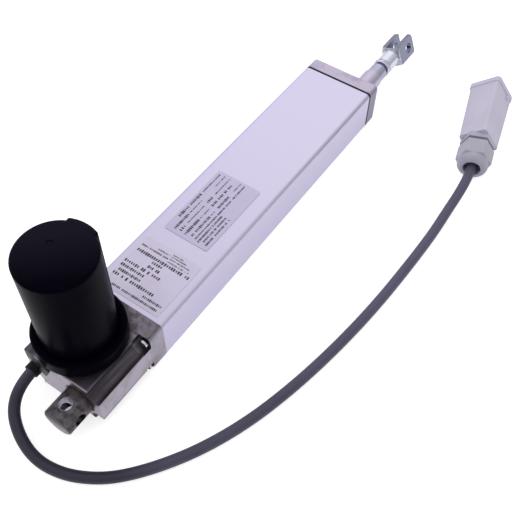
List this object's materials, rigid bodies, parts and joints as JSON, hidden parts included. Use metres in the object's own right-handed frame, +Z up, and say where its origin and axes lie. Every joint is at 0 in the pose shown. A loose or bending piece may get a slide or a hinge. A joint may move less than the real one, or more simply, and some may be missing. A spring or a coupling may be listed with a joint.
{
  "type": "electric lift cylinder",
  "caption": "Electric lift cylinder: an aluminium tube with a push rod and fork head, a cast gearbox with a drilled rear lug, an upright motor, and a cable with a plug.",
  "frame": {"origin": "centre of the crossed pin holes in the rear lug, on the push rod's axis", "axes": "+X along the push rod, the way it comes out; +Z up along the motor; the motor and most of the tube's width lie on the +Y side of the rod"},
  "size_m": [0.5583, 0.2088, 0.1424],
  "materials": {
    "tube_aluminium": "anodised, satin",
    "cap_casting": "cast, satin",
    "gearbox_casting": "cast, satin",
    "black_rubber": "matte",
    "bronze": "machined",
    "dark_steel": "oiled, dark",
    "machined_steel": "machined",
    "rod_steel": "ground, hard chromed",
    "zinc_plate": "zinc plated",
    "black_screws": "black oxide",
    "nut_polymer": "machined",
    "rail_aluminium": "mill",
    "switch_plastic": "satin",
    "motor_black": "satin",
    "can_steel": "zinc plated",
    "ferrite": "ground",
    "laminations": "varnished",
    "copper": "turned",
    "carbon": "matte",
    "cable_grey": "satin",
    "hood_grey": "powder coat",
    "insert_grey": "satin",
    "contact_brass": "bright",
    "gland_grey": "satin"
  },
  "bodies": {
    "housing": {"outer_tube": "tube_aluminium", "front_cap": "cap_casting", "gearbox_housing": "gearbox_casting", "bearing_plate": "gearbox_casting", "front_gasket": "black_rubber", "rod_wiper": "black_rubber", "cable_gland": "black_rubber", "plug_gland_seal": "black_rubber", "rod_bush": "bronze", "shaft_foot": "bronze", "rear_lug": "dark_steel", "rear_bearing": "machined_steel", "front_bearing": "machined_steel", "lower_motor_bearing": "machined_steel", "upper_motor_bearing": "machined_steel", "cap_screws": "black_screws", "housing_screws": "black_screws", "switch_rail": "rail_aluminium", "limit_switches": "switch_plastic", "brush_holder": "switch_plastic", "gland_clip": "switch_plastic", "motor_cover": "motor_black", "motor_ring": "motor_black", "motor_can": "can_steel", "motor_magnets": "ferrite", "carbon_brushes": "carbon", "cable": "cable_grey", "plug_hood": "hood_grey", "plug_insert": "insert_grey", "plug_contacts": "contact_brass", "plug_gland_body": "gland_grey", "plug_gland_nut": "gland_grey"},
    "rod": {"drive_nut": "nut_polymer", "nut_slider": "nut_polymer", "push_rod": "rod_steel", "rod_nose": "machined_steel", "lock_nut": "zinc_plate", "fork_head": "zinc_plate"},
    "screw": {"lead_screw": "machined_steel", "wheel_spacer": "machined_steel", "worm_wheel": "bronze", "wheel_key": "machined_steel"},
    "rotor": {"motor_shaft": "machined_steel", "armature": "laminations", "commutator": "copper", "worm": "machined_steel"}
  },
  "joints": [
    {"name": "motor_spin", "type": "hinge", "parent": "housing", "child": "rotor", "pos_m": [0.0463, 0.0245, 0], "axis": [0, 0, 1], "range_deg": [0, 292500]},
    {"name": "screw_spin", "type": "hinge", "parent": "housing", "child": "screw", "pos_m": [0.0463, 0, 0], "axis": [1, 0, 0], "range_deg": [-22500, 0]},
    {"name": "rod_slide", "type": "slide", "parent": "housing", "child": "rod", "axis": [1, 0, 0], "range_m": [0, 0.25]}
  ],
  "couplings": [
    {"joint": "screw_spin", "follows": "motor_spin", "ratio": -0.076923},
    {"joint": "rod_slide", "follows": "motor_spin", "m_per_rad": 0.000048971}
  ]
}
